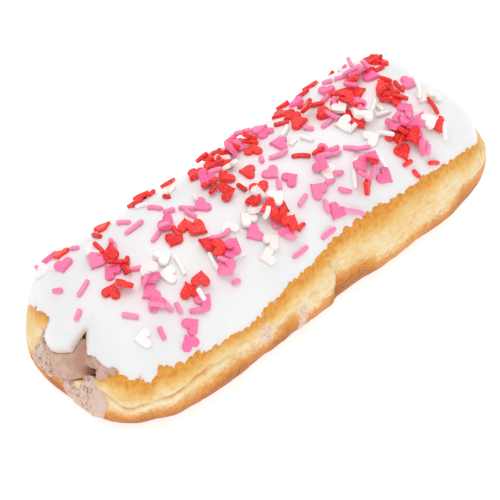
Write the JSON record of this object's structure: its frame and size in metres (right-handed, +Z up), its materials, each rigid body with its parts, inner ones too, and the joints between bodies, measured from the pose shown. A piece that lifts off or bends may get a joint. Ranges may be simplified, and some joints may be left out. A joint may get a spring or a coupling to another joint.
{
  "type": "long john doughnut",
  "caption": "Iced long john doughnut: a fried bar with a cream core that swells out of one end, strewn with heart and stick sprinkles.",
  "frame": {"origin": "under the middle of the doughnut, on the surface that it rests on", "axes": "+X along the bar away from its open, cream-filled end, -Y towards the lapped front side, +Z up out of the icing"},
  "size_m": [0.1662, 0.0616, 0.0501],
  "materials": {
    "fried_dough": "fried yeast dough, golden with a pale band and a browned foot, satin from frying fat",
    "cream": "whipped chocolate cream, pale brown and matt, with small pits",
    "white_icing": "set white sugar icing, smooth with a soft shine, carrying red, pink and white sugar sprinkles"
  },
  "bodies": {
    "root": {"dough": "fried_dough", "filling": "cream", "icing": "white_icing"}
  },
  "joints": []
}
